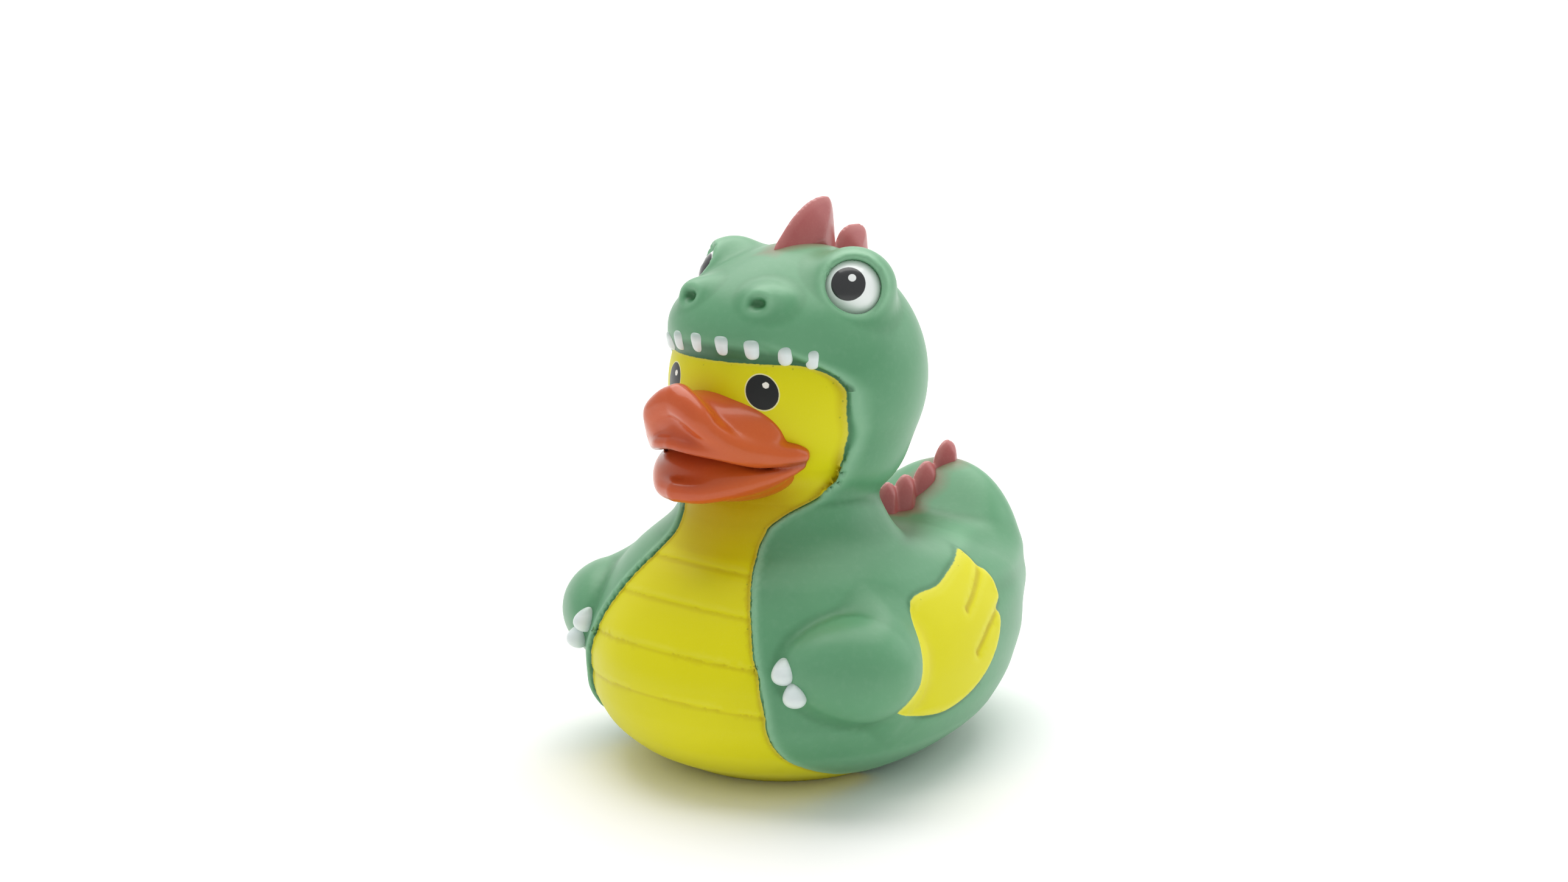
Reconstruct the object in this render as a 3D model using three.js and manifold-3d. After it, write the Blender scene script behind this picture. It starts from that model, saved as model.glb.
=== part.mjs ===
// A rubber duck in a dinosaur costume, moulded as one piece.
// Millimetres, +Z up. The duck faces -Y and its left side is +X.
// The flat base lies at z = 0, and the middle of the overall length and width is above the origin.
// Every form is drawn on the duck's left half and mirrored by using |x|.

import * as THREE from 'three';
import { mergeVertices } from 'three/addons/utils/BufferGeometryUtils.js';
import Module from 'manifold-3d';

const wasm = await Module();
wasm.setup();

// Driving dimensions. y is measured from the axis through the middle of the neck.
const BODY = {
  halfWidth: 31, // widest, at the belly
  frontReach: 32.2, // from the axis to the belly
  rearReach: 50.8, // from the axis to the rump
  height: 44, // base to the top of the neck inside the head
};
const HEAD = {
  radius: 21,
  y: 3.4,
  rise: 18, // head centre above the body's height
};
const COAT = 0.7; // the costume's thickness over the body
const WING_RELIEF = 0.8; // wing above the costume
const BELOW = 4; // the body is drawn this far under its base and cut off
const BAND = { depth: 0.35, height: 0.7 }; // grooves across the belly

// Features are drawn in millimetres on a duck of these sizes, and the functions onBody and
// the head's own scale carry them to the driving sizes.
const DRAWN = { halfWidth: 31, frontReach: 32.2, rearReach: 50.8, height: 44, headRadius: 21, headY: 3.4, headZ: 62 };

// Body: level sections of two half ellipses. Each station is the height, then the share of the
// full front reach, half width and rear reach that the section has there.
const BODY_STATIONS = [
  [0, 0.553, 0.568, 0.551],
  [0.034, 0.649, 0.665, 0.659],
  [0.091, 0.795, 0.806, 0.807],
  [0.182, 0.919, 0.942, 0.921],
  [0.295, 0.988, 0.997, 0.984],
  [0.41, 1, 1, 1],
  [0.523, 0.953, 0.974, 0.988],
  [0.636, 0.854, 0.919, 0.896],
  [0.75, 0.714, 0.806, 0.807],
  [0.841, 0.575, 0.661, 0.394],
  [0.932, 0.45, 0.468, 0.236],
  [1, 0.373, 0.323, 0.157],
];
const RUMP = { at: [0, 38.8, 29.8], radii: [16.5, 13.4, 10.2], rise: 36, blend: 6 };
const NECK = { at: [0, -1, 42], radii: [15, 14, 9], blend: 6 };
const ARM = { at: [26.2, -12.2, 21.5], radii: [9.2, 9.2, 8.3], blend: 5.5, span: 15, sink: 0.08 };
const FOREARM = { elbow: [24.9, -14.9, 22.4], hand: [22.3, -19.6, 21.8], elbowRadius: 8.3, handRadius: 4.8 };
const CLAWS = [[21.3, -24.4, 22.6], [23.3, -24.1, 19.6]];
const CLAW = { radius: 1.8, length: 2.3 };

// The costume's front edge: height and half width of the opening.
const COAT_EDGE = [
  [0, 22.1], [5.3, 20.9], [8.6, 19.6], [16.7, 18.8], [23.2, 16.9], [28, 14.6],
  [33.6, 11.2], [38.5, 9], [40.5, 9.2], [42.2, 10.4], [45.5, 14.2], [48, 16],
];
const BANDS = [34.9, 29.8, 23.4, 16.6];
const WING_OUTLINE = [
  [17.7, 33.6], [13, 32.9], [8.7, 32.2], [4, 31.2], [-3.5, 30.4], [-6.5, 24], [-6.5, 18],
  [-8.5, 15.4], [-5, 13.4], [0, 12.6], [5.5, 12.8], [10.6, 14.1], [14.3, 15.9], [17.3, 18.4],
  [19.6, 20.9], [20.6, 23.2], [20, 24.4], [21.9, 25.9], [21.8, 28], [20.8, 30], [19.5, 31],
  [19, 32.8],
];

// Head, drawn at the head radius above.
const FACE = { at: [0, 1.5, 60.5], radius: 19.6 };
const COLLAR = { at: [0, 2.5, 50], radii: [17.5, 16, 9.5], blend: 4 };
const SNOUT = { at: [0, -3, 70.7], radii: [17.2, 14.3, 8], blend: 4 };
const BROW = { at: [12.5, 2, 76.8], radii: [6.9, 6.9, 6.5], blend: 2.6 };
const NOSTRIL = { at: [7.2, -11.9, 75.7], radii: [3, 2.4, 1.9], blend: 2.2 };
const NOSTRIL_HOLE = { at: [7.2, -14.3, 75.9], radii: [1.3, 1.4, 0.8] };
const EYE = { at: [12.1, 1.1, 76.4], axis: [0.69, -0.65, 0.31], radius: 5.5, socket: 4.6, depth: 3.1 };
const FACE_OPENING = [
  [0, 67.4], [8, 67.2], [13, 66.4], [16.4, 64], [18.2, 60], [18.3, 56.5], [17.1, 51.5],
  [14.4, 46.6], [11.5, 43.5], [9, 41.5], [8.6, 38.5],
];
const TEETH = [[2.5, -17, 68.4], [7.3, -15.8, 68.1], [11.5, -13.1, 67.3], [14.9, -9.9, 66.7]];
const TOOTH = { radius: 1.2, tip: 0.75, length: 3.2 };
// The bill's roll and lips: x, y, z and radius along each.
const ROLL = [
  [0, -24.2, 61.2, 2.6], [3, -24, 60.5, 2.6], [5.6, -22.8, 58.6, 2.4], [8.2, -20.6, 56.4, 2],
  [10.6, -17.3, 54.7, 1.6], [12.6, -13, 53.6, 1.3], [13.5, -10.2, 53, 1.1],
];
const UPPER_LIP = [
  [0, -26.9, 55.2, 1.1], [3.6, -25.2, 54.6, 1.2], [7, -22, 53.7, 1.3], [9.3, -19.2, 52.8, 1.3],
  [11, -16.4, 52.2, 1.3], [12.6, -13, 52.1, 1.2], [13.6, -9.6, 52.2, 1.1],
];
const LOWER_LIP = [
  [0, -24.6, 48.2, 1.6], [3.8, -23, 48.3, 1.6], [7.2, -20.2, 48.9, 1.5], [10, -16.6, 49.5, 1.4],
  [12, -13.2, 50.1, 1.2], [13.5, -9.6, 51, 1],
];
const MOUTH = [[0, 53.9], [3.6, 53.3], [7, 52.4], [9.3, 51.5], [11, 51], [12.6, 51], [14, 51.4], [20, 51.5]];
// Height of the open mouth over x: the two halves of the bill join at its corners.
const GAPE = [[0, 1], [9, 1], [11.6, 0.3], [13, -0.8]];

// Spikes: outlines in side view, as (y, z).
const HEAD_SPIKES = [
  [[-2.6, 82], [-0.3, 84.9], [2.6, 87.5], [5.7, 89.3], [8.7, 90.1], [10.4, 90.1], [11.5, 89.2],
    [12.1, 87.3], [12.7, 82.2], [13.2, 77.5], [5, 78], [-2, 78.5]],
  [[12.3, 80.5], [13.3, 83.4], [15, 84.7], [17.2, 85.1], [19.3, 84.8], [20.5, 83.8], [20.9, 82],
    [21.3, 78], [20.5, 74.5], [15, 76]],
];
const NAPE_SPIKES = [{ angle: 55, height: 5.6 }, { angle: 80, height: 5 }];
const NAPE_CHORD = 8.5;
const BACK_SPIKES = [
  { foot: [26, 33.6], height: 6.5, chord: 7, lean: 0.6 },
  { foot: [31, 34.2], height: 6.5, chord: 7.2, lean: 0.5 },
  { foot: [37, 35.8], height: 6.3, chord: 7.4, lean: 0.5 },
  { foot: [43.1, 39.2], height: 5.8, chord: 7, lean: 0.3 },
];
// A blade's half thickness, the slope it rises with from its rim, and the rim's rounding.
const SPIKE = { thick: 3.9, slope: 0.75, round: 0.4 };
const BACK_SPIKE = { thick: 3, slope: 1.1, round: 0.5 };

// Distances: each form is a function that is negative inside and grows outwards.

const softMin = (a, b, k) => {
  const h = Math.max(k - Math.abs(a - b), 0) / k;
  return Math.min(a, b) - h * h * k * 0.25;
};
const softMax = (a, b, k) => -softMin(-a, -b, k);

// Distance to an ellipsoid whose rear end is raised by `rise` degrees.
function ellipsoid(x, y, z, { at, radii, rise = 0 }) {
  const s = Math.sin(THREE.MathUtils.degToRad(rise));
  const c = Math.cos(THREE.MathUtils.degToRad(rise));
  const dy = y - at[1];
  const dz = z - at[2];
  const px = (x - at[0]) / radii[0];
  const py = (dy * c + dz * s) / radii[1];
  const pz = (dz * c - dy * s) / radii[2];
  const near = Math.hypot(px, py, pz) + 1e-9;
  const slope = Math.hypot(px / radii[0], py / radii[1], pz / radii[2]) + 1e-9;
  return (near * (near - 1)) / slope;
}

// Distance to a rod whose radius runs from ra at a to rb at b.
function rod(x, y, z, a, b, ra, rb) {
  const d = [b[0] - a[0], b[1] - a[1], b[2] - a[2]];
  const along = (x - a[0]) * d[0] + (y - a[1]) * d[1] + (z - a[2]) * d[2];
  const t = THREE.MathUtils.clamp(along / (d[0] ** 2 + d[1] ** 2 + d[2] ** 2), 0, 1);
  const reach = Math.hypot(x - a[0] - t * d[0], y - a[1] - t * d[1], z - a[2] - t * d[2]);
  return reach - (ra + (rb - ra) * t);
}

// Distance to a chain of rods through (x, y, z, radius) points.
const chain = (x, y, z, points) => Math.min(...points.slice(1).map((b, i) => rod(
  x, y, z, points[i], b, points[i][3], b[3],
)));

// Signed distance in a plane to a closed outline, negative inside.
function outlineDistance(u, v, outline) {
  let best = Infinity;
  let inside = false;
  for (let i = 0, j = outline.length - 1; i < outline.length; j = i, i += 1) {
    const [ax, ay] = outline[j];
    const [bx, by] = outline[i];
    const [ex, ey] = [bx - ax, by - ay];
    const t = THREE.MathUtils.clamp(((u - ax) * ex + (v - ay) * ey) / (ex * ex + ey * ey), 0, 1);
    best = Math.min(best, Math.hypot(u - ax - ex * t, v - ay - ey * t));
    if (ay > v !== by > v && u < ax + ((v - ay) * ex) / ey) inside = !inside;
  }
  return inside ? -best : best;
}

// A smooth curve through (position, value) stations that never overshoots between them.
function profile(stations) {
  const n = stations.length;
  const gap = (i) => stations[i + 1][0] - stations[i][0];
  const rise = (i) => (stations[i + 1][1] - stations[i][1]) / gap(i);
  const slope = stations.map((_, i) => {
    if (i === 0) return rise(0);
    if (i === n - 1) return rise(n - 2);
    return rise(i - 1) * rise(i) <= 0 ? 0 : (2 * rise(i - 1) * rise(i)) / (rise(i - 1) + rise(i));
  });
  return (at) => {
    const p = THREE.MathUtils.clamp(at, stations[0][0], stations[n - 1][0]);
    let i = 0;
    while (i < n - 2 && p > stations[i + 1][0]) i += 1;
    const w = gap(i);
    const t = (p - stations[i][0]) / w;
    const a = stations[i][1];
    const b = stations[i + 1][1];
    return a + t * (w * slope[i] + t * (3 * (b - a) - w * (2 * slope[i] + slope[i + 1])
      + t * (w * (slope[i] + slope[i + 1]) - 2 * (b - a))));
  };
}

// A closed smooth outline through the given points, with some steps from each to the next.
const rounded = (points, steps) => new THREE.CatmullRomCurve3(
  points.map(([a, b]) => new THREE.Vector3(a, b, 0)), true,
).getPoints(points.length * steps).slice(0, -1).map((p) => [p.x, p.y]);

// Places and forms on the body

const wideScale = BODY.halfWidth / DRAWN.halfWidth;
const highScale = BODY.height / DRAWN.height;
const longScale = (y) => (y < 0 ? BODY.frontReach / DRAWN.frontReach : BODY.rearReach / DRAWN.rearReach);
const onBody = ([x, y, z]) => [x * wideScale, y * longScale(y), z * highScale];
const formOnBody = ({ at, radii, ...rest }) => ({
  at: onBody(at),
  radii: [radii[0] * wideScale, radii[1] * longScale(at[1]), radii[2] * highScale],
  ...rest,
});

const bodyProfile = (column, reach) => profile(
  BODY_STATIONS.map((s) => [s[0] * BODY.height, s[column] * reach]),
);
const frontReach = bodyProfile(1, BODY.frontReach);
const halfWidth = bodyProfile(2, BODY.halfWidth);
const rearReach = bodyProfile(3, BODY.rearReach);
const rump = formOnBody(RUMP);
const neck = formOnBody(NECK);
const arm = formOnBody(ARM);

function trunkAt(x, y, z) {
  const reach = y < 0 ? frontReach(z) : rearReach(z);
  const wide = halfWidth(z);
  const near = Math.hypot(x / wide, y / reach) + 1e-9;
  const slope = Math.hypot(x / wide ** 2, y / reach ** 2) + 1e-9;
  return softMax((near * (near - 1)) / slope, z - BODY.height, NECK.blend);
}

const torsoAt = (x, y, z) => softMin(
  softMin(trunkAt(x, y, z), ellipsoid(x, y, z, rump), RUMP.blend),
  ellipsoid(x, y, z, neck), NECK.blend,
);

// The body's skin moved outwards by a thickness. It goes on below the base, where it is cut off.
const skinAt = (thickness) => (x, y, z) => Math.max(
  torsoAt(Math.abs(x), y, z) - thickness, -z - BELOW,
);

// The upper arm and the part of the shoulder that it grows out of. Its rim lies just under the
// costume's surface.
function shoulderAt(x, y, z) {
  const [dx, dy, dz] = [x - arm.at[0], y - arm.at[1], z - arm.at[2]];
  const grown = softMin(torsoAt(x, y, z) - COAT, ellipsoid(x, y, z, arm), ARM.blend);
  return Math.max(grown + ARM.sink, Math.hypot(dx, dy, dz) - ARM.span);
}

// Forms on the head, in the drawn head's place and size

function hoodAt(x, y, z) {
  const across = Math.abs(x);
  const radius = DRAWN.headRadius;
  const shell = Math.hypot(x, y - DRAWN.headY, z - DRAWN.headZ) - radius;
  return [COLLAR, SNOUT, BROW, NOSTRIL].reduce(
    (form, lump) => softMin(form, ellipsoid(across, y, z, lump), lump.blend), shell,
  );
}

const mouthHeight = profile(MOUTH);
const gapeHeight = profile(GAPE);

function upperBillAt(x, y, z) {
  const across = Math.abs(x);
  const core = ellipsoid(across, y, z, { at: [0, -14.3, 54.6], radii: [9.7, 12.4, 6.2], rise: -8 });
  const panel = ellipsoid(across, y, z, { at: [0, -21.6, 56.8], radii: [5.2, 6, 4], rise: -17 });
  const rolled = softMin(softMin(core, chain(across, y, z, ROLL), 1.4), panel, 0.8);
  return softMax(softMin(rolled, chain(across, y, z, UPPER_LIP), 1), mouthHeight(across) - z, 0.6);
}

function lowerBillAt(x, y, z) {
  const across = Math.abs(x);
  const core = ellipsoid(across, y, z, { at: [0, -13.8, 49.4], radii: [11.2, 12.6, 4.4] });
  const lipped = softMin(core, chain(across, y, z, LOWER_LIP), 1.4);
  return softMax(lipped, z - mouthHeight(across) + gapeHeight(across), 0.6);
}

// Solids

const SCAN_STEP = 0.5; // first step of the search along a ray
// The sphere's poles stand upright for the body and the head, and lie along x for the bill.
const UPRIGHT = new THREE.Matrix4().makeRotationX(Math.PI / 2);
const ACROSS = new THREE.Matrix4().makeRotationZ(Math.PI / 2);

function closed(geometry) {
  geometry.deleteAttribute('normal');
  geometry.deleteAttribute('uv');
  return mergeVertices(geometry, 1e-5);
}

function solid(geometry) {
  const merged = closed(geometry);
  return new wasm.Manifold(new wasm.Mesh({
    numProp: 3,
    vertProperties: new Float32Array(merged.attributes.position.array),
    triVerts: new Uint32Array(merged.index.array),
  }));
}

// The last length along a ray that is inside, searched from its far end.
function lastInside(inside, reach) {
  let far = reach;
  while (far > SCAN_STEP && !inside(far)) far -= SCAN_STEP;
  let near = far;
  far += SCAN_STEP;
  for (let k = 0; k < 24; k += 1) {
    const half = (near + far) / 2;
    if (inside(half)) near = half;
    else far = half;
  }
  return near;
}

// A sphere's mesh pushed out along rays to where the form ends. Each ray starts at the place
// inside the form that `start` gives for its direction.
function mould(form, start, columns, rows, reach, turn = UPRIGHT) {
  const geometry = closed(new THREE.SphereGeometry(1, columns, rows).applyMatrix4(turn));
  const spots = geometry.attributes.position;
  const way = new THREE.Vector3();
  for (let i = 0; i < spots.count; i += 1) {
    way.fromBufferAttribute(spots, i).normalize();
    const from = start(way);
    const at = (t) => [from[0] + way.x * t, from[1] + way.y * t, from[2] + way.z * t];
    spots.setXYZ(i, ...at(lastInside((t) => form(...at(t)) < 0, reach)));
  }
  return solid(geometry);
}

const bothSides = (piece) => piece.add(piece.mirror([1, 0, 0]));

function ball(centre, radii, columns, rows) {
  const geometry = new THREE.SphereGeometry(1, columns, rows);
  geometry.scale(...radii);
  geometry.translate(...centre);
  return solid(geometry);
}

// A closed outline extruded between two depths of a view.
function plate(points, from, to, view) {
  const shape = new THREE.Shape(points.map(([a, b]) => new THREE.Vector2(a, b)));
  const geometry = new THREE.ExtrudeGeometry(shape, { depth: to - from, bevelEnabled: false });
  geometry.translate(0, 0, from);
  geometry.applyMatrix4(view);
  return solid(geometry);
}

// Outlines drawn in the duck's side view, as (y, z) pairs, and in its front view, as (x, z).
const sideView = new THREE.Matrix4().makeBasis(
  new THREE.Vector3(0, 1, 0), new THREE.Vector3(0, 0, 1), new THREE.Vector3(1, 0, 0),
);
const frontView = new THREE.Matrix4().makeBasis(
  new THREE.Vector3(1, 0, 0), new THREE.Vector3(0, 0, 1), new THREE.Vector3(0, -1, 0),
);

// A profile of (radius, height) points turned about an axis through a place.
function turned(points, at, axis, sides) {
  const geometry = new THREE.LatheGeometry(points.map(([r, h]) => new THREE.Vector2(r, h)), sides);
  const turn = new THREE.Quaternion().setFromUnitVectors(
    new THREE.Vector3(0, 1, 0), new THREE.Vector3(...axis).normalize(),
  );
  geometry.applyQuaternion(turn);
  geometry.translate(...at);
  return solid(geometry);
}

// Both halves of a front-view outline that is drawn as x over z on one side.
const mirroredOutline = (half) => half.concat(half.slice().reverse().map(([x, z]) => [-x, z]));

const FAR = 80; // beyond the duck on any side
const FRONT_DEPTH = 2; // the openings are cut in front of this plane
const BODY_GRID = [44, 28];
const HEAD_GRID = [38, 28];
const ARM_GRID = [20, 13];
const bodyHeart = (way) => [0, (9 + 13 * way.y) * longScale(1), 19 * highScale];
const headHeart = () => [0, DRAWN.headY, DRAWN.headZ];
const upperBillHeart = (way) => [12.6 * way.x, -20 + 7.6 * way.x ** 2, 57.3 - 4.1 * way.x ** 2];
const lowerBillHeart = (way) => [12.2 * way.x, -17 + 5.2 * way.x ** 2, 49 + 1.4 * way.x ** 2];

// A round-ended rod between two spheres that touch it all round.
function limb({ elbow, hand, elbowRadius, handRadius }) {
  const [from, to] = [elbow, hand].map((at) => new THREE.Vector3(...onBody(at)));
  const axis = to.clone().sub(from);
  const length = axis.length();
  const touch = Math.asin((elbowRadius - handRadius) / length);
  const arc = (radius, start, end, count, height) => Array.from({ length: count }, (_, i) => {
    const a = start + ((end - start) * i) / (count - 1);
    return [Math.max(radius * Math.cos(a), 0), height + radius * Math.sin(a)];
  });
  const points = arc(elbowRadius, -Math.PI / 2, touch, 7, 0)
    .concat(arc(handRadius, touch, Math.PI / 2, 3, length));
  return turned(points, from.toArray(), axis.toArray(), 16);
}

function body() {
  const skin = mould(skinAt(0), bodyHeart, ...BODY_GRID, FAR);
  const edge = profile(COAT_EDGE);
  const top = COAT_EDGE[COAT_EDGE.length - 1][0];
  const heights = Array.from({ length: 19 }, (_, i) => -1 + (i * (top + 1)) / 18);
  const half = heights.map((z) => [edge(z) * wideScale, z * highScale]);
  const opening = plate(mirroredOutline(half), FRONT_DEPTH, FAR, frontView);
  const coat = mould(skinAt(COAT), bodyHeart, ...BODY_GRID, FAR).subtract(opening);

  const groove = BANDS.map((z) => {
    const low = z * highScale;
    const slab = mirroredOutline([[FAR / 2, low - BAND.height], [FAR / 2, low]]);
    return plate(slab, FRONT_DEPTH, FAR, frontView);
  }).reduce((all, one) => all.add(one)).intersect(opening)
    .subtract(mould(skinAt(-BAND.depth), bodyHeart, ...BODY_GRID, FAR));

  const wingOutline = rounded(WING_OUTLINE, 2).map(([y, z]) => [y * longScale(y), z * highScale]);
  const wing = plate(wingOutline, 16 * wideScale, FAR, sideView)
    .intersect(mould(skinAt(COAT + WING_RELIEF), bodyHeart, ...BODY_GRID, FAR));
  const under = plate(mirroredOutline([[FAR, -FAR], [FAR, 0]]), -FAR, FAR, frontView);
  const shoulder = mould(shoulderAt, () => arm.at, ...ARM_GRID, ARM.span + 1);
  return [coat, bothSides(shoulder), bothSides(limb(FOREARM)), bothSides(wing)]
    .reduce((sum, piece) => sum.add(piece), skin.subtract(groove)).subtract(under);
}

const clawProfile = Array.from({ length: 7 }, (_, i) => {
  const t = (i * Math.PI) / 6;
  return [Math.sin(t) * CLAW.radius * (1 + 0.25 * Math.cos(t)), -Math.cos(t) * CLAW.length];
});
const claws = () => CLAWS.map((at) => bothSides(turned(clawProfile, onBody(at), [-0.25, 0.35, 1], 12)));

const toothProfile = [
  [0, -TOOTH.length / 2], [TOOTH.tip * 0.6, -TOOTH.length / 2 + 0.15], [TOOTH.tip, -TOOTH.length / 2 + 0.6],
  [TOOTH.radius, TOOTH.length / 3], [0, TOOTH.length / 2],
];
const teeth = () => TEETH.map((at) => bothSides(turned(toothProfile, at, [0, 0, 1], 8)));

// A leaf-shaped outline on a level foot, leaning back at its tip.
function leaf(height, chord, lean) {
  return [
    [-0.5 * chord, -1.5], [-0.42 * chord, 0.35 * height], [lean * 0.6 - 0.18 * chord, 0.8 * height],
    [lean, height], [lean * 0.8 + 0.25 * chord, 0.8 * height], [0.42 * chord, 0.4 * height],
    [0.5 * chord, -1], [0, -0.5 * height],
  ];
}

// A blade with its rim on a side-view outline. It thickens inwards from the rim to a ridge.
function blade(outline, { thick, slope, round }) {
  const curve = rounded(outline, 3);
  const middle = [0, 1].map((k) => curve.reduce((sum, p) => sum + p[k], 0) / curve.length);
  const geometry = closed(new THREE.SphereGeometry(1, 12, 8).rotateZ(Math.PI / 2));
  const spots = geometry.attributes.position;
  for (let i = 0; i < spots.count; i += 1) {
    const [x, y, z] = [spots.getX(i), spots.getY(i), spots.getZ(i)];
    const share = Math.hypot(y, z);
    const [dy, dz] = share > 1e-6 ? [y / share, z / share] : [1, 0];
    const rim = lastInside(
      (t) => outlineDistance(middle[0] + dy * t, middle[1] + dz * t, curve) < 0, HEAD.radius,
    );
    const [u, v] = [middle[0] + dy * rim * share, middle[1] + dz * rim * share];
    const inside = Math.max(-outlineDistance(u, v, curve), 0);
    const climb = Math.sqrt(inside * (inside + 2 * round));
    spots.setXYZ(i, Math.sign(x) * thick * (1 - Math.exp((-climb * slope) / thick)), u, v);
  }
  return solid(geometry);
}

function headSpikes() {
  const nape = NAPE_SPIKES.map(({ angle, height }) => {
    const a = THREE.MathUtils.degToRad(angle);
    const seat = DRAWN.headRadius - COAT;
    return leaf(height, NAPE_CHORD, 1.5).map(([u, v]) => [
      DRAWN.headY + Math.sin(a) * (seat + v) + Math.cos(a) * u,
      DRAWN.headZ + Math.cos(a) * (seat + v) - Math.sin(a) * u,
    ]);
  });
  return HEAD_SPIKES.concat(nape).map((outline) => blade(outline, SPIKE));
}

const backSpikes = () => BACK_SPIKES.map(({ foot, height, chord, lean }) => {
  const [, y, z] = onBody([0, ...foot]);
  return blade(leaf(height, chord, lean).map(([u, v]) => [y + u, z + v]), BACK_SPIKE);
});

function head() {
  const hood = mould(hoodAt, headHeart, ...HEAD_GRID, FAR / 2);
  const opening = plate(rounded(mirroredOutline(FACE_OPENING.slice(1)).concat([FACE_OPENING[0]]), 3),
    FRONT_DEPTH, FAR, frontView);
  const socket = turned([[0, 0], [EYE.socket, 0], [EYE.socket, 8], [0, 8]],
    EYE.at.map((v, k) => v + (EYE.axis[k] * EYE.depth)), EYE.axis, 28);
  const face = ball(FACE.at, [FACE.radius, FACE.radius, FACE.radius], 28, 18);
  const eye = ball(EYE.at, [EYE.radius, EYE.radius, EYE.radius], 18, 12);
  const hole = ball(NOSTRIL_HOLE.at, NOSTRIL_HOLE.radii, 10, 8);
  const upper = mould(upperBillAt, upperBillHeart, 26, 18, FAR / 2, ACROSS);
  const lower = mould(lowerBillAt, lowerBillHeart, 22, 14, FAR / 2, ACROSS);
  const cut = hood.subtract(bothSides(socket)).subtract(opening).subtract(bothSides(hole));
  const whole = [face, bothSides(eye), upper, lower, ...teeth(), ...headSpikes()]
    .reduce((sum, piece) => sum.add(piece), cut);
  const scale = HEAD.radius / DRAWN.headRadius;
  return whole.translate([0, -DRAWN.headY, -DRAWN.headZ]).scale([scale, scale, scale])
    .translate([0, HEAD.y, BODY.height + HEAD.rise]);
}

const whole = [head(), ...backSpikes(), ...claws()].reduce((sum, piece) => sum.add(piece), body());
const mesh = whole.getMesh();
const geometry = new THREE.BufferGeometry();
geometry.setAttribute('position', new THREE.BufferAttribute(Float32Array.from(mesh.vertProperties), 3));
geometry.setIndex(new THREE.BufferAttribute(Uint32Array.from(mesh.triVerts), 1));
geometry.computeBoundingBox();
const vinyl = new THREE.MeshStandardMaterial({ color: 0x5f9b73, roughness: 0.5, metalness: 0 });
const duck = new THREE.Mesh(geometry, vinyl);
duck.name = 'duck';
duck.position.y = -(geometry.boundingBox.min.y + geometry.boundingBox.max.y) / 2;
const model = new THREE.Group();
model.add(duck);

export default model;
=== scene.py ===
# %% [markdown]
# # A rubber duck in a dinosaur costume
# The duck is one soft moulded piece. Its costume, its yellow front and its bill are paint on that moulding.
# This lesson builds the moulding as one smooth blended surface, then paints it with masks that are
# measured on the same shape, and adds the hard white parts as small turned surfaces.
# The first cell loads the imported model, which is the fixed frame that everything is placed in.

# %% Load the frame
import math

import bpy
import numpy as np
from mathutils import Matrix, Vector


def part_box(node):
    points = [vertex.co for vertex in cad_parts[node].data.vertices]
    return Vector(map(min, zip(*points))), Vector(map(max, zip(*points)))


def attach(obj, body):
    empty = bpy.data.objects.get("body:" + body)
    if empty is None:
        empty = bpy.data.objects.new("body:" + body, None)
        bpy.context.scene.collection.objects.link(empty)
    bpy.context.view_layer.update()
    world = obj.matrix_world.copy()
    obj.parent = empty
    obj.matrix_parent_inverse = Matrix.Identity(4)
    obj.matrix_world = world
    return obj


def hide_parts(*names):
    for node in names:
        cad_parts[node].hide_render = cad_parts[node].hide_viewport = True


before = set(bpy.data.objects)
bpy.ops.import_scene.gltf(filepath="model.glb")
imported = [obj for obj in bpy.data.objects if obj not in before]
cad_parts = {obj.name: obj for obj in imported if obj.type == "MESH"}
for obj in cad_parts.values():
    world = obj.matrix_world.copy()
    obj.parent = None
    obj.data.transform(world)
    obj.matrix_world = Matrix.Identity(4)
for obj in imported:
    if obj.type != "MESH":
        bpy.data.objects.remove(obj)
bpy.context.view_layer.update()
node_low, node_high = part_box("duck")

# %% [markdown]
# ## Smooth curves through a few sizes
# A toy maker draws a body by a few sections and lets the surface run smoothly between them.
# A monotone cubic does that: it goes through every size and never overshoots between two of them.
# It is written here with arrays, so that a hundred thousand heights are read at once.

# %% Smooth interpolation
def smooth_through(at, stations, sizes):
    """Cubic Hermite curve through the sizes, its slope at a station the harmonic mean of the two
    neighbouring slopes, or level where the size turns back."""
    stations, sizes = np.asarray(stations, float), np.asarray(sizes, float)
    gap = np.diff(stations)
    rise = np.diff(sizes) / gap
    same = rise[:-1] * rise[1:] > 0
    total = np.where(same, rise[:-1] + rise[1:], 1.0)
    middle = np.where(same, 2 * rise[:-1] * rise[1:] / total, 0.0)
    slope = np.concatenate([rise[:1], middle, rise[-1:]])
    at = np.clip(at, stations[0], stations[-1])
    i = np.clip(np.searchsorted(stations, at, side="right") - 1, 0, len(gap) - 1)
    t = (at - stations[i]) / gap[i]
    left = sizes[i] * (1 + 2 * t) * (1 - t) ** 2 + slope[i] * gap[i] * t * (1 - t) ** 2
    right = sizes[i + 1] * t * t * (3 - 2 * t) + slope[i + 1] * gap[i] * t * t * (t - 1)
    return left + right


def rounded(points, steps, closed=True):
    """Uniform Catmull-Rom spline through the points: each stretch is a cubic whose end slopes are
    half the step from the point before to the point after."""
    p = np.asarray(points, float)
    p = np.vstack([p[-1:], p, p[:2]]) if closed else np.vstack([2 * p[0] - p[1], p, 2 * p[-1] - p[-2]])
    a, b, c, d = (p[k : len(p) - 3 + k, None, :] for k in range(4))
    t = (np.arange(steps) / steps)[None, :, None]
    run = 0.5 * (2 * b + (c - a) * t + (2 * a - 5 * b + 4 * c - d) * t**2 + (3 * b - a - 3 * c + d) * t**3)
    run = run.reshape(-1, p.shape[1])
    return run if closed else np.vstack([run, p[-2:-1]])


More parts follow.
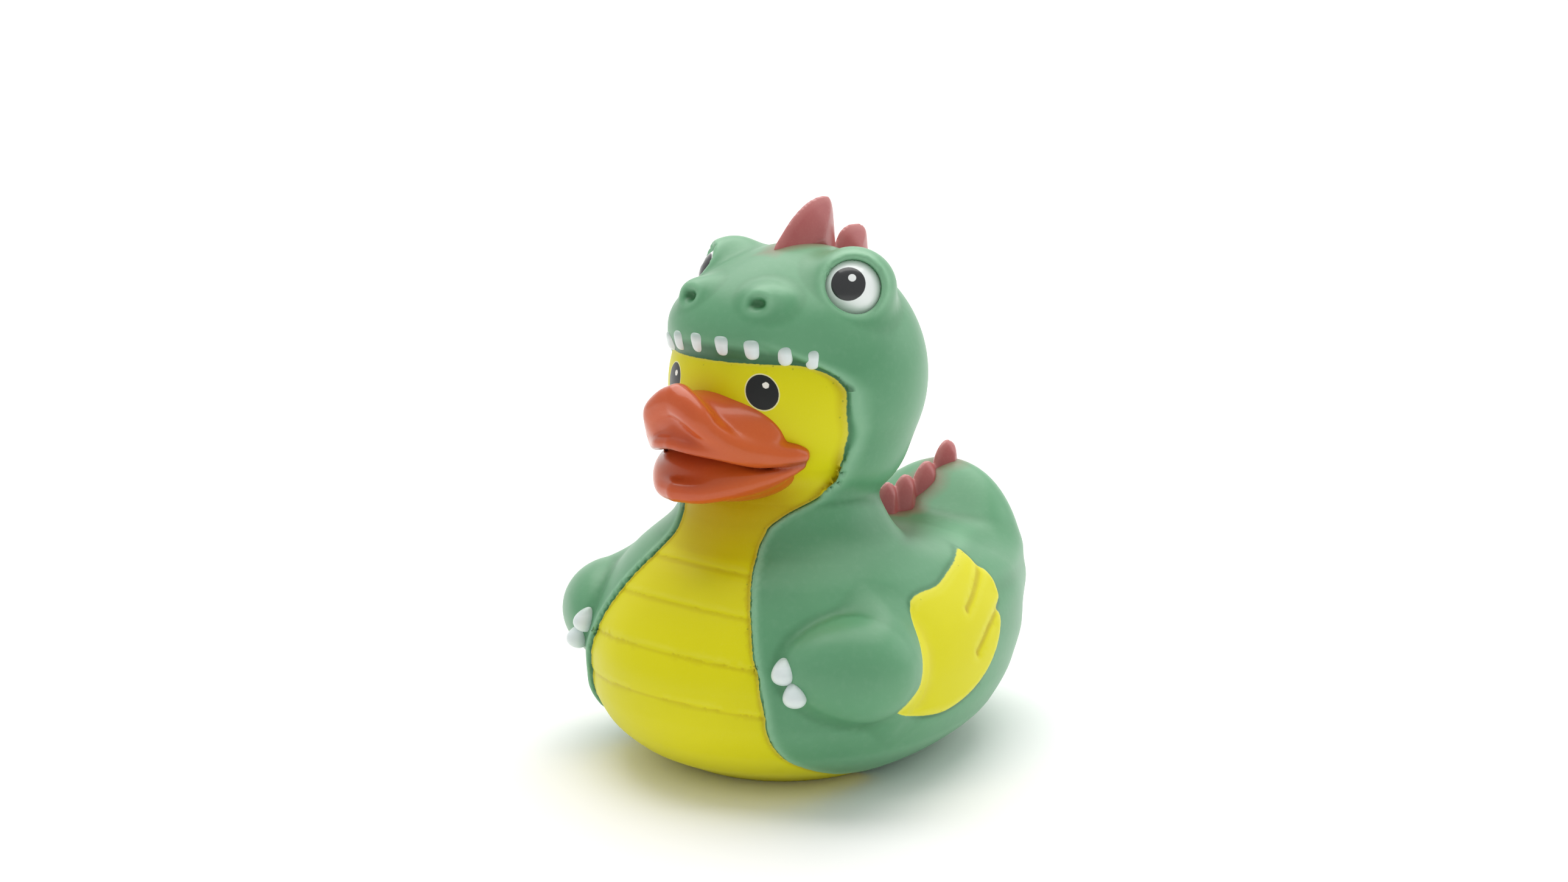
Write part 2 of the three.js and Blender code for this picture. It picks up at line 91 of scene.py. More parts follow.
# %% [markdown]
# ## Soft shapes that melt into each other
# Vinyl is cast from a sculpted master, where each lump is smoothed into the next. The way to get that
# here is a distance field: a function that says how far a point lies outside a shape. Two fields are
# joined by a minimum whose corner is rounded, and that rounding is the fillet between two lumps.
# All sizes in this part are millimetres. The duck is drawn on its left half, where x is positive, and
# every point of the right half is measured at its mirror image.

# %% Building blocks of the field
def melt(a, b, fillet):
    """The lesser of two distances, lowered by a parabola over the band where they are closer than
    the fillet size, which rounds the valley between the two shapes."""
    h = np.maximum(fillet - np.abs(a - b), 0.0) / fillet
    return np.minimum(a, b) - h * h * fillet * 0.25


def carve(a, b, fillet):
    """The greater of two distances with the same rounding, for cutting one shape by another."""
    return -melt(-a, -b, fillet)


def tilt(pitch, yaw=0.0):
    """Matrix of a turn about x by the pitch, then about z by the yaw, in degrees."""
    p, y = math.radians(pitch), math.radians(yaw)
    about_x = np.array([[1, 0, 0], [0, math.cos(p), -math.sin(p)], [0, math.sin(p), math.cos(p)]])
    about_z = np.array([[math.cos(y), -math.sin(y), 0], [math.sin(y), math.cos(y), 0], [0, 0, 1]])
    return about_z @ about_x


def unit(*direction):
    """The direction as a vector of length one."""
    return np.array(direction) / np.linalg.norm(direction)


def one_half(points):
    """The points, with those of the right half mirrored to the left."""
    half = points.copy()
    half[:, 0] = np.abs(half[:, 0])
    return half


def ball(points, centre, radii, turn=None):
    """Distance to an ellipsoid, to first order: k (k - 1) / g, with k the length of the point over
    the radii and g its length over the squared radii."""
    q = points - np.asarray(centre, float)
    if turn is not None:
        q = q @ turn
    r = np.asarray(radii, float)
    k = np.sqrt(((q / r) ** 2).sum(-1)) + 1e-9
    g = np.sqrt(((q / r**2) ** 2).sum(-1)) + 1e-9
    return k * (k - 1) / g


def limb(points, start, end, start_radius, end_radius):
    """Distance to the nearest point of a straight bone, less a radius that runs evenly along it."""
    start, end = np.asarray(start, float), np.asarray(end, float)
    bone = end - start
    t = np.clip(((points - start) @ bone) / (bone @ bone), 0, 1)
    return np.linalg.norm(points - (start + t[:, None] * bone), axis=-1) - (
        start_radius + (end_radius - start_radius) * t
    )


def cord_of(points, path):
    """Least distance to a chain of limbs, whose path rows are x, y, z and radius."""
    away = np.full(len(points), 1e9)
    for a, b in zip(path[:-1], path[1:]):
        away = np.minimum(away, limb(points, a[:3], b[:3], a[3], b[3]))
    return away


def outline_distance(u, v, outline):
    """Signed distance to a closed outline in a plane, less than nothing inside: the least distance
    to its sides, with the sign turned at each side that a level ray crosses."""
    best, sign = np.full(u.shape, 1e9), np.ones(u.shape)
    for a, b in zip(outline, np.roll(outline, -1, axis=0)):
        e = b - a
        wx, wy = u - a[0], v - a[1]
        t = np.clip((wx * e[0] + wy * e[1]) / (e @ e), 0, 1)
        best = np.minimum(best, (wx - e[0] * t) ** 2 + (wy - e[1] * t) ** 2)
        above, below, side = v >= a[1], v < b[1], e[0] * wy > e[1] * wx
        sign = np.where((above & below & side) | (~above & ~below & ~side), -sign, sign)
    return sign * np.sqrt(best)


NEAR_MARGIN, NEAR_REACH = 2.0, 1.5


def near_only(points, low, high, shape):
    """The shape's own distance close to a box, and the distance to the box elsewhere, so that a
    small detail is only worked out where it matters."""
    gap = np.maximum(np.maximum(np.array(low) - points, points - np.array(high)), 0)
    away = np.sqrt((gap * gap).sum(-1)) + NEAR_MARGIN
    close = away < NEAR_MARGIN + NEAR_REACH
    if close.any():
        away[close] = shape(points[close])
    return away


# %% [markdown]
# ## The body
# The body is a tub with a round chest and a raised rump. It is a stack of level sections: at each height
# one reach forwards, one half width and one reach backwards, joined by ellipses. The low back, the rump
# and the neck are ellipsoids melted into it. The chest carries shallow bands, as on a lizard's belly.

# %% Body field
HEIGHTS = [0, 1.5, 4, 8, 13, 18, 23, 28, 33, 37, 41, 44]
CHEST_REACH = [17.8, 20.9, 25.6, 29.6, 31.8, 32.2, 30.7, 27.5, 23.0, 18.5, 14.5, 12]
HALF_WIDTH = [17.6, 20.6, 25.0, 29.2, 30.9, 31.0, 30.2, 28.5, 25.0, 20.5, 14.5, 10]
RUMP_REACH = [28, 33, 37.8, 41.8, 46.2, 49.3, 48.6, 45.0, 32.6, 15, 12, 8]
BELLY_BANDS = [34.9, 29.8, 23.4, 16.6]
BAND_DROOP = 0.0042
BAND_DEPTH = 0.20
BELOW_LINE, ABOVE_LINE = 1.6, 0.16
LOW_BACK = (0, 26.1, 26.4), (21.4, 19.6, 5.6)
RUMP = (0, 41.0, 29.8), (12.8, 11.7, 7.0), tilt(64.5)
NECK = (0, -1, 42), (15, 14, 9)


def trunk(p):
    """Level sections that are two half ellipses, one to the chest's reach and one to the rump's."""
    x, y, z = p.T
    half = smooth_through(z, HEIGHTS, HALF_WIDTH)
    reach = np.where(y < 0, smooth_through(z, HEIGHTS, CHEST_REACH), smooth_through(z, HEIGHTS, RUMP_REACH))
    g = np.hypot(x / half, y / reach) + 1e-9
    slope = np.hypot(x / half**2, y / reach**2) + 1e-9
    return carve(np.maximum(g * (g - 1) / slope, -15), z - HEIGHTS[-1], 4) * 0.85


def torso(p):
    """Trunk, low back, raised rump and neck melted together."""
    d = melt(trunk(p), ball(p, *LOW_BACK), 6)
    return melt(melt(d, ball(p, *RUMP), 10.7), ball(p, *NECK), 6)


def below_bands(p):
    """How far a point lies below each band's line, which hangs lower away from the middle."""
    x, _, z = p.T
    return np.array(BELLY_BANDS)[:, None] - BAND_DROOP * x * x - z


def belly_bands(p):
    """Depth of the bands: a low step at each line, which fades quickly above it and over the next
    few millimetres below it."""
    below = below_bands(p)
    depth = np.where(below > 0, np.exp(-below / BELOW_LINE), np.exp(below / ABOVE_LINE))
    return BAND_DEPTH * (depth * (below > -1.5)).sum(0) * (p[:, 1] < 0)


# %% [markdown]
# ## The costume
# The costume is a second skin on the body, about three quarters of a millimetre proud, so that its edge
# stands as a small step along the yellow chest. Arms, folded hands and the low wings on the flanks are
# part of it. The wing is an outline seen from the side: inside it the skin is raised by a few tenths.

# %% Costume field
EDGE_HEIGHTS = [-2, 0, 5.3, 8.6, 12, 16.7, 20, 23.2, 26.4, 31.1, 33.6, 36.1, 38.5, 40.5, 42.2, 45.5, 50.8,
                56.8, 61.5, 64, 66, 68, 71]
EDGE_HALF_WIDTH = [22.5, 22.1, 20.9, 19.6, 19.1, 18.8, 18.2, 16.9, 15.4, 12.8, 11.2, 9.8, 9.0, 9.2, 10.4,
                   13.8, 16.3, 18.2, 18.4, 17.6, 16.2, 14.0, 9.0]
COAT = 0.7
WING_RELIEF = 0.55
FEATHER_CREASE = 0.45, 0.8
UPPER_ARM = (26.2, -12.2, 21.5), (9.2, 9.2, 8.3)
FOREARM = (23.6, -17.4, 22.0), (6.0, 7.4, 6.1), tilt(0, -29)
HAND_FILLET, SHOULDER_FILLET = 1.2, 4.0
HAND_BACK, SHOULDER_RUN = -15, 7
WING = rounded([(18.4, 33.4), (13.8, 32.7), (9.5, 32.0), (4.8, 31.0), (-2.6, 30.2), (-6.5, 24), (-8.5, 19),
                (-12.0, 16.2), (-7.0, 13.7), (0, 12.4), (5.5, 12.8), (10.6, 14.1), (14.3, 15.9),
                (17.3, 18.4), (19.6, 20.9), (20.6, 23.2), (20.0, 24.4), (21.9, 25.9), (21.8, 28.0),
                (20.8, 30.0), (19.5, 31.0), (19.0, 32.8)], 4)
FEATHERS = [np.array([(19.5, 31.0), (15.3, 29.0), (10.1, 26.6)]),
            np.array([(20.0, 24.4), (15.6, 22.5), (10.8, 19.7)])]


def front_opening(p):
    """Less than nothing in front, inside the half width that the opening has at that height."""
    x, y, z = p.T
    return carve(x - smooth_through(z, EDGE_HEIGHTS, EDGE_HALF_WIDTH), y + 2, 2)


def arm(p):
    """A round upper arm and an egg for the forearm that folds towards the chest."""
    return melt(ball(p, *UPPER_ARM), ball(p, *FOREARM), 4)


def wing_edge(p):
    """Distance to the wing's outline in side view, on the flank only."""
    x, y, z = p.T
    return outline_distance(y, z, WING) + np.where(x < 12, 30.0, 0.0)


def feather_lines(p):
    """Least distance to the two creases between the wing's feathers, in side view."""
    best = np.full(len(p), 1e9)
    for line in FEATHERS:
        for a, b in zip(line[:-1], line[1:]):
            e = b - a
            w = p[:, 1:] - a
            t = np.clip((w @ e) / (e @ e), 0, 1)
            best = np.minimum(best, np.linalg.norm(w - t[:, None] * e, axis=-1))
    return best


def coat(p, inner):
    """Body skin raised by the coat's thickness outside the opening, with arms and wings. The arm's
    fillet is wide behind the shoulder and narrow round the hand."""
    d = carve(inner - COAT, -front_opening(p), 0.9)
    t = np.clip((p[:, 1] - HAND_BACK) / SHOULDER_RUN, 0, 1)
    d = melt(d, arm(p), HAND_FILLET + SHOULDER_FILLET * t * t * (3 - 2 * t))

    def raised(q):
        depth, width = FEATHER_CREASE
        crease = depth * np.exp(-(feather_lines(q) / width) ** 2)
        return carve(torso(q) - COAT - WING_RELIEF + crease, wing_edge(q), 0.9)

    return melt(d, near_only(p, (18, -12, 8), (34, 28, 37), raised), 0.4)


# %% [markdown]
# ## The hood and the face
# The head is a ball. The hood is a slightly larger ball round it with a snout, two brows, two nostrils and
# eye sockets, and it is cut away below the snout so that the yellow face looks out. The cut follows the
# snout's lip, and a narrow band of gum is left behind the lip, which is where the teeth stand.

# %% Head fields
FACE_CENTRE = (0, 1.5, 60.5)
FACE_RADIUS = 19.6
EYE_CENTRE = np.array((12.5, 1.4, 76.3))
EYE_AXIS = unit(0.69, -0.65, 0.31)
EYE_RADIUS = 5.5
SOCKET_RADIUS, SOCKET_FLOOR = 4.35, 3.1
HOOD_BALL = (0, 3.4, 62), (21, 21, 21)
COLLAR = (0, 2.5, 50), (17.5, 16, 9.5)
SNOUT = (0, -3, 70.7), (17.2, 14.3, 8.0)
BROW = (12.5, 2.0, 76.8), (6.9, 6.9, 6.5)
NOSTRIL = (7.2, -11.7, 75.9), (3.0, 2.4, 1.9)
NOSTRIL_HOLE = (7.2, -14.5, 75.7), (1.2, 1.2, 0.75), tilt(-12, 20)
LIP_TOP, LIP_DROOP = 69.5, 0.0065
LIP_DEPTH, LIP_NARROWING, LIP_RISE = 2.7, 0.006, 1.25


def face(p):
    """The duck's own head: a ball."""
    return ball(p, FACE_CENTRE, (FACE_RADIUS,) * 3)


def lip_height(x):
    """The snout's lower edge: highest in the middle and lower towards the cheeks."""
    return LIP_TOP - LIP_DROOP * x * x


def hood_opening(p, head):
    """The part of the opening that lies below the lip. It rises behind the lip towards the face."""
    x, _, z = p.T
    roof = z - lip_height(x) + LIP_DEPTH - LIP_NARROWING * x * x - LIP_RISE * head
    return carve(front_opening(p), roof, 3.5)


def hood(p, head):
    """Ball, collar, snout, brows and nostrils melted together, less sockets and opening."""
    d = melt(ball(p, *HOOD_BALL), ball(p, *COLLAR), 4)
    d = melt(melt(d, ball(p, *SNOUT), 4), ball(p, *BROW), 2.6)
    q = p - EYE_CENTRE
    along = q @ EYE_AXIS
    out = np.linalg.norm(q - along[:, None] * EYE_AXIS, axis=-1)
    d = carve(d, -np.maximum(out - SOCKET_RADIUS, SOCKET_FLOOR - along), 1.1)
    d = melt(d, near_only(p, (3, -20, 71), (12, -8, 81), lambda s: ball(s, *NOSTRIL)), 3.0)
    d = carve(d, -ball(p, *NOSTRIL_HOLE), 1.5)
    return carve(d, -hood_opening(p, head), 0.9)


def moulding(p):
    """Distances to the painted costume and to the bare yellow skin, both cut flat at the base."""
    q = one_half(p)
    inner, head = torso(q), face(q)
    costume = melt(hood(q, head), coat(q, inner), 2.0)
    skin = melt(inner, head, 3.0) + belly_bands(q)
    return np.maximum(costume, -q[:, 2]), np.maximum(skin, -q[:, 2])


def skin_field(p):
    """Costume and skin as one moulding, with a small fillet where they meet."""
    costume, skin = moulding(p)
    return melt(costume, skin, 0.35)


# %% [markdown]
# ## From a field to a mesh
# A field becomes a mesh by walking a lattice. Wherever a lattice line runs through the surface, four cells
# meet round it and give one small face, and each cell's point is the mean of its crossings. Blocks far from
# the surface are skipped. The points are then pushed along the slope onto the exact surface, and the edges
# are halved where finer detail is wanted. All of it is whole arrays.

# %% Lattice surface
SLOPE_STEP = 0.04
BLOCK = 6
SHORTEST_HALVED = 0.22


def slope_of(field, p):
    """Central differences of the field along the three axes."""
    return np.stack([(field(p + d) - field(p - d)) / (2 * SLOPE_STEP) for d in np.eye(3) * SLOPE_STEP], -1)


def settle(field, p, reach, rounds=3):
    """Newton steps: each point moves by its distance over the slope's squared length, against it."""
    for _ in range(rounds):
        g = slope_of(field, p)
        p = p - np.clip(field(p) / np.maximum((g * g).sum(-1), 0.05), -reach, reach)[:, None] * g
    return p


def lattice_surface(field, low, high, step):
    """Points and triangles of the field's zero surface inside a box."""
    low = np.array(low, float)
    blocks = np.ceil((np.array(high) - low) / (step * BLOCK)).astype(int)
    size = blocks * BLOCK
    middles = np.stack(np.meshgrid(*[np.arange(n) for n in blocks], indexing="ij"), -1)
    centres = low + (middles.reshape(-1, 3) + 0.5) * step * BLOCK
    rough = np.concatenate([field(part) for part in np.array_split(centres, 4)])
    near = (np.abs(rough) < step * BLOCK * 1.15).reshape(blocks)
    value = np.kron(np.where(rough < 0, -9.0, 9.0).reshape(blocks), np.ones((BLOCK,) * 3))
    value = np.pad(value, ((0, 1),) * 3, mode="edge").astype(np.float32)
    known = np.zeros(size + 1, bool)
    wide = np.kron(near, np.ones((BLOCK,) * 3, bool))
    for shift in np.ndindex(2, 2, 2):
        known[tuple(slice(s, s + n) for s, n in zip(shift, size))] |= wide
    nodes = np.argwhere(known)
    parts = np.array_split(low + nodes * step, max(1, len(nodes) // 60000))
    value[tuple(nodes.T)] = np.concatenate([field(part) for part in parts])
    value = np.where(value == 0, 1e-6, value)
    cells, corners = [], []
    for axis in range(3):
        a = np.take(value, range(size[axis]), axis)
        b = np.take(value, range(1, size[axis] + 1), axis)
        at = np.argwhere((a < 0) != (b < 0))
        u, w = (axis + 1) % 3, (axis + 2) % 3
        at = at[(at[:, u] > 0) & (at[:, w] > 0) & (at[:, u] < size[u]) & (at[:, w] < size[w])]
        va, vb = a[tuple(at.T)], b[tuple(at.T)]
        cross = at.astype(float)
        cross[:, axis] += va / (va - vb)
        ring = []
        for du, dw in ((0, 0), (1, 0), (1, 1), (0, 1)):
            cell = at.copy()
            cell[:, u] -= du
            cell[:, w] -= dw
            ring.append(np.ravel_multi_index(tuple(cell.T), tuple(size)))
        ring = np.stack(ring, -1)
        cells.append(np.where((va < 0)[:, None], ring, ring[:, ::-1]))
        corners.append(cross)
    quads, cross = np.vstack(cells), np.vstack(corners)
    names, quads = np.unique(quads, return_inverse=True)
    quads = quads.reshape(-1, 4)
    count = np.bincount(quads.ravel(), minlength=len(names))
    each = np.repeat(cross, 4, axis=0)
    points = np.stack([np.bincount(quads.ravel(), each[:, k], len(names)) for k in range(3)], -1)
    points = settle(field, low + points / count[:, None] * step, reach=step * 0.5)
    first = np.linalg.norm(points[quads[:, 0]] - points[quads[:, 2]], axis=-1)
    second = np.linalg.norm(points[quads[:, 1]] - points[quads[:, 3]], axis=-1)
    quads = np.where((first <= second)[:, None], quads, np.roll(quads, -1, axis=1))
    return points, np.vstack([quads[:, [0, 1, 2]], quads[:, [0, 2, 3]]])


def halve_edges(field, points, faces, wanted):
    """Every edge whose middle is wanted gets a point there, and its two triangles are split in two,
    three or four, so that no gap opens between fine and coarse."""
    edges = np.sort(np.vstack([faces[:, [0, 1]], faces[:, [1, 2]], faces[:, [2, 0]]]), axis=1)
    pairs, which = np.unique(edges, axis=0, return_inverse=True)
    which = which.reshape(3, -1).T
    middle = (points[pairs[:, 0]] + points[pairs[:, 1]]) / 2
    long_enough = np.linalg.norm(points[pairs[:, 0]] - points[pairs[:, 1]], axis=-1) > SHORTEST_HALVED
    pick = wanted(middle) & long_enough
    number = np.full(len(pairs), -1)
    number[pick] = len(points) + np.arange(pick.sum())
    points = np.vstack([points, settle(field, middle[pick], rounds=2, reach=0.2)])
    mids = number[which]
    code = (mids >= 0) @ np.array([1, 2, 4])
    patterns = {0: [(0, 1, 2)], 1: [(0, 3, 2), (3, 1, 2)], 2: [(0, 1, 4), (0, 4, 2)],
                4: [(0, 1, 5), (5, 1, 2)], 3: [(3, 1, 4), (0, 3, 4), (0, 4, 2)],
                6: [(5, 4, 2), (0, 1, 4), (0, 4, 5)], 5: [(0, 3, 5), (3, 1, 2), (3, 2, 5)],
                7: [(0, 3, 5), (3, 1, 4), (5, 4, 2), (3, 4, 5)]}
    table = np.hstack([faces, mids])
    made = [table[code == c][:, list(t)] for c, triangles in patterns.items() for t in triangles]
    return points, np.vstack(made)


# %% [markdown]
# ## Putting arrays into Blender
# A mesh is filled with foreach_set, and each painted mask goes along as a number on every point. The duck
# was measured about the middle of its head, and the frame is centred on the object's box, so every point
# moves by the same step along y. Every piece rides on the duck's only body and stands for its one node.

# %% Mesh helpers
MM = 0.001
pieces = {}


def add_piece(name, points, faces, masks):
    """A mesh object in metres at the origin. Faces are triangles or quads; masks are attributes."""
    mesh = bpy.data.meshes.new(name)
    faces = np.asarray(faces)
    mesh.vertices.add(len(points))
    mesh.vertices.foreach_set("co", (np.asarray(points) * MM).ravel())
    mesh.loops.add(faces.size)
    mesh.loops.foreach_set("vertex_index", faces.ravel().astype(np.int32))
    mesh.polygons.add(len(faces))
    mesh.polygons.foreach_set("loop_start", np.arange(len(faces), dtype=np.int32) * faces.shape[1])
    mesh.polygons.foreach_set("use_smooth", np.ones(len(faces), bool))
    for mask, values in masks.items():
        layer = mesh.attributes.new(mask, "FLOAT", "POINT")
        layer.data.foreach_set("value", np.asarray(values, np.float32))
    mesh.update(calc_edges=True)
    piece = bpy.data.objects.new(name, mesh)
    bpy.context.scene.collection.objects.link(piece)
    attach(piece, "root")
    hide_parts("duck")
    pieces[name] = piece
    print(name, len(points), "points,", len(faces), "faces")


def wrapped(rows):
    """Triangles over a grid of rings whose first and last ring have shrunk to one point each."""
    count, around = rows.shape[:2]
    ring = np.arange(around)
    after = np.roll(ring, -1)
    points = np.vstack([rows[:1, 0], rows[1:-1].reshape(-1, 3), rows[-1:, 0]])
    base = 1 + np.arange(count - 3)[:, None] * around
    a, b, c, d = base + ring, base + after, base + around + after, base + around + ring
    last = 1 + (count - 3) * around
    faces = np.vstack([
        np.stack([np.zeros_like(ring), 1 + after, 1 + ring], -1),
        np.stack([a, b, c], -1).reshape(-1, 3), np.stack([a, c, d], -1).reshape(-1, 3),
        np.stack([last + ring, last + after, np.full_like(ring, last + around)], -1)])
    return points, faces


# %% [markdown]
# ## The spikes
# The spikes along the crest, the nape and the back are flat blades, thick in the middle, so each has a
# ridge where its two slopes meet. Each is an outline in side view, and its thickness grows from the edge
# inwards. The field comes first, because the skin's paint needs it for the mist round the spikes' feet.

# %% Spikes field
HEAD_SPIKE = rounded([(-2.6, 82.0), (-0.3, 84.9), (2.6, 87.5), (5.7, 89.3), (8.7, 90.1), (10.4, 90.1),
                      (11.5, 89.2), (12.1, 87.3), (12.7, 82.2), (13.2, 77.5), (5, 78), (-2, 78.5)], 5)
CREST_SPIKE = rounded([(12.3, 80.5), (13.3, 83.4), (15.0, 84.7), (17.2, 85.1), (19.3, 84.8), (20.5, 83.8),
                       (20.9, 82), (21.3, 78), (20.5, 74.5), (15, 76)], 5)
BACK_SPIKES = [(26.0, 33.6, 6.5, 7.0, 0.6), (31.0, 34.2, 6.5, 7.2, 0.5), (37.0, 35.8, 6.3, 7.4, 0.5),
               (43.1, 39.2, 5.8, 7.0, 0.3)]
NAPE_SPIKES = [(55, 5.6), (80, 5.0)]
NAPE_CHORD, NAPE_LEAN, NAPE_FOOT = 8.5, 1.5, 20.3
HEAD_HALF, CREST_HALF, NAPE_HALF, BACK_HALF = 3.9, 3.1, 2.8, 3.0
HEAD_FLANK, BACK_FLANK = 0.75, 1.1


def leaf(height, chord, lean):
    """Closed outline of one small spike on a level base: wide at the foot, leaning at the tip."""
    return rounded([(-0.5 * chord, -1.5), (-0.47 * chord, 0.35 * height),
                    (lean * 0.7 - 0.28 * chord, 0.8 * height), (lean, height),
                    (lean * 0.9 + 0.32 * chord, 0.84 * height), (0.48 * chord, 0.45 * height),
                    (0.5 * chord, -1.0), (0, -0.5 * height)], 5)


def fin(p, outline, thickest, flank):
    """A blade over an outline in side view. Its half thickness grows from the edge inwards and
    levels out at the thickest, which leaves a ridge along the middle of the outline."""
    x, y, z = p.T
    inside = -outline_distance(y, z, outline)
    half = thickest * (1 - np.exp(-np.maximum(inside, 0) * flank / thickest))
    return carve((x - half) / math.sqrt(1 + flank**2), -inside, 0.4)


def nape_leaf(degrees, height):
    """A leaf set square on the back of the hood, that many degrees down from the top."""
    a = math.radians(degrees)
    out = np.array([math.sin(a), math.cos(a)])
    down = np.array([math.cos(a), -math.sin(a)])
    shape = leaf(height, NAPE_CHORD, NAPE_LEAN)
    return np.array(HOOD_BALL[0][1:]) + out * NAPE_FOOT + shape[:, :1] * down + shape[:, 1:] * out


def spikes(p):
    """All the spikes, for points on the left half."""
    d = near_only(p, (0, -4, 76), (5, 24, 91), lambda q: np.minimum(
        fin(q, HEAD_SPIKE, HEAD_HALF, HEAD_FLANK), fin(q, CREST_SPIKE, CREST_HALF, HEAD_FLANK)))
    for degrees, height in NAPE_SPIKES:
        shape = nape_leaf(degrees, height)
        d = np.minimum(d, near_only(p, (0, 18, 52), (5, 32, 84),
                                    lambda q, s=shape: fin(q, s, NAPE_HALF, HEAD_FLANK)))

    def row(q):
        v = np.full(len(q), 1e3)
        for y, z, height, chord, lean in BACK_SPIKES:
            blade = leaf(height, chord, lean) + np.array([y, z])
            v = melt(v, fin(q, blade, BACK_HALF, BACK_FLANK), 0.5)
        return v

    return np.minimum(d, near_only(p, (0, 20, 29), (5, 48, 46), row))


# %% [markdown]
# ## Masks for the paint
# Paint needs borders. The masks are measured on the mesh's own points, so that no picture is stretched
# over the shape: millimetres inside the front opening, the wings and the painted eyes, how far below the
# lip and how near the chin a point lies, which place painted shade under the lip and under the bill, and
# how hollow the surface is, which places painted shade in hollows and a painted highlight on ridges.

# %% Paint masks
DUCK_EYE = (9.15, 62.3)
DUCK_EYE_HALF = (2.32, 2.68)
DUCK_EYE_LEAN = 0.10
DUCK_GLINT = (0.62, 1.12)
DUCK_GLINT_RADIUS = 0.5
PRINT_RADIUS, PRINT_DEPTH = 17.5, 16.9
OVAL_SCALE = 2.9
NOT_HERE = -9.0
# The gum band under the lip, where a darker green is painted as shade.
GUM_FLOOR, GUM_BACK, GUM_SIDE, GUM_FADE = 62, -1.5, 12.8, 0.5
# Ball under the bill where the yellow is darkened by painted shade.
CHIN_SHADE = (0, -13, 43), (13, 8, 5)
HOLLOW_STEP = 0.7


def face_turn(x, y):
    """Distance round the head, in millimetres, from its middle line."""
    return np.arctan2(x, -(y - FACE_CENTRE[1])) * PRINT_RADIUS


def oval_masks(p):
    """Millimetres inside the painted oval eyes and inside their round glints."""
    x, y, z = p.T
    side = np.where(x < 0, -1.0, 1.0)
    centre = math.atan2(DUCK_EYE[0], PRINT_DEPTH) * PRINT_RADIUS
    u = face_turn(x, y) - side * centre
    v = z - DUCK_EYE[1]
    u = u + side * DUCK_EYE_LEAN * v
    r = np.sqrt((u / DUCK_EYE_HALF[0]) ** 2 + (v / DUCK_EYE_HALF[1]) ** 2)
    glint = DUCK_GLINT_RADIUS - np.hypot(u - DUCK_GLINT[0], v - DUCK_GLINT[1])
    away = np.where(y > -6, NOT_HERE, 0.0)
    return (1 - r) * OVAL_SCALE + away, glint + away


def paint_masks(p):
    """All the masks of the moulded skin."""
    q = one_half(p)
    head = face(q)
    opening = -hood_opening(q, head) - 0.3
    wing = np.minimum(-wing_edge(q), arm(q) - 0.1)
    spot, glint = oval_masks(p)
    # Curvature of the skin: hollows get painted shade, ridges a painted highlight.
    around = sum(skin_field(p + d) for d in np.vstack([np.eye(3), -np.eye(3)]) * HOLLOW_STEP)
    hollow_shade_ridge_light = (around - 6 * skin_field(p)) / HOLLOW_STEP**2
    # Band under the lip that carries the painted shade.
    gum_shade = np.where(q[:, 2] > GUM_FLOOR, lip_height(q[:, 0]) - 0.3 - q[:, 2], NOT_HERE)
    gum_shade = np.minimum(gum_shade, GUM_BACK - q[:, 1]) - np.maximum(front_opening(q) - 0.2, 0)
    gum_shade -= GUM_FADE * np.maximum(q[:, 0] - GUM_SIDE, 0)
    return {"opening": opening, "wing": wing, "eye_spot": spot, "eye_glint": glint,
            "gum_shade": gum_shade, "chin_shade": ball(q, *CHIN_SHADE), "hollow_shade_ridge_light": np.clip(-hollow_shade_ridge_light, -1, 1), "spray": spikes(q)}


# %% [markdown]
# ## The moulded skin
# The moulding is one mesh, coarse on the plain back and fine round the face, the snout and every painted
# edge. The finer points cost time only where an edge or a small relief would otherwise look stepped.

# %% Mould the skin
def detail(p):
    """Where the mesh is made finer: the head's front, and a narrow band along every painted edge."""
    q = one_half(p)
    head = (q[:, 2] > 44) & (q[:, 1] < 6)
    edge = (np.abs(front_opening(q)) < 1.1) & (q[:, 2] > 1)
    wing = (np.abs(wing_edge(q)) < 0.9) | ((feather_lines(q) < 0.9) & (q[:, 0] > 20))
    hand = limb(q, (22, -24, 23), (24, -24, 18), 3, 3) < 1.5
    band = (np.abs(below_bands(q)) < 0.5).any(0) & (q[:, 1] < 0) & (front_opening(q) < 0)
    return head | edge | wing | hand | band


skin_points, skin_faces = lattice_surface(skin_field, (-38, -36, -1.5), (38, 54, 88), 0.85)
skin_points, skin_faces = halve_edges(skin_field, skin_points, skin_faces, detail)
skin_points[:, 2] = np.maximum(skin_points[:, 2], 0.0)
CENTRING = (node_low.y + node_high.y) / 2 / MM - (skin_points[:, 1].min() + skin_points[:, 1].max()) / 2
STEP_Y = np.array([0.0, CENTRING, 0.0])
add_piece("moulded_skin", skin_points + STEP_Y, skin_faces, paint_masks(skin_points))
print("centring step along y, mm:", round(CENTRING, 3))

# %% [markdown]
# ## The spikes' meshes
# The blades are meshed from their field on a finer lattice than the skin, as pieces of their own, which
# keeps their feet crisp where they leave the skin. Each point keeps its distance from the middle plane,
# for the painted highlight along the ridge.

# %% Spikes mesh
def mirrored_spikes(p):
    """The spikes on both halves."""
    return spikes(one_half(p))


for name, low, high in (("head_spikes", (-4.5, -4, 76), (4.5, 23, 91)),
                        ("nape_spikes", (-4, 18, 52), (4, 31, 82)),
                        ("back_spikes", (-4.5, 20, 28), (4.5, 48, 46.5))):
    spike_points, spike_faces = lattice_surface(mirrored_spikes, low, high, 0.38)
    add_piece(name, spike_points + STEP_Y, spike_faces, {"ridge_highlight": np.abs(spike_points[:, 0])})

# %% [markdown]
# ## The bill
# The bill is two soft cushions. A thick roll runs over the upper one and down to the corner of the mouth
# on each side, and a fuller lip runs below it. They are chains of round limbs along smooth paths, melted
# together. A thin slit is cut between the upper and the lower bill, and closes at its corners.

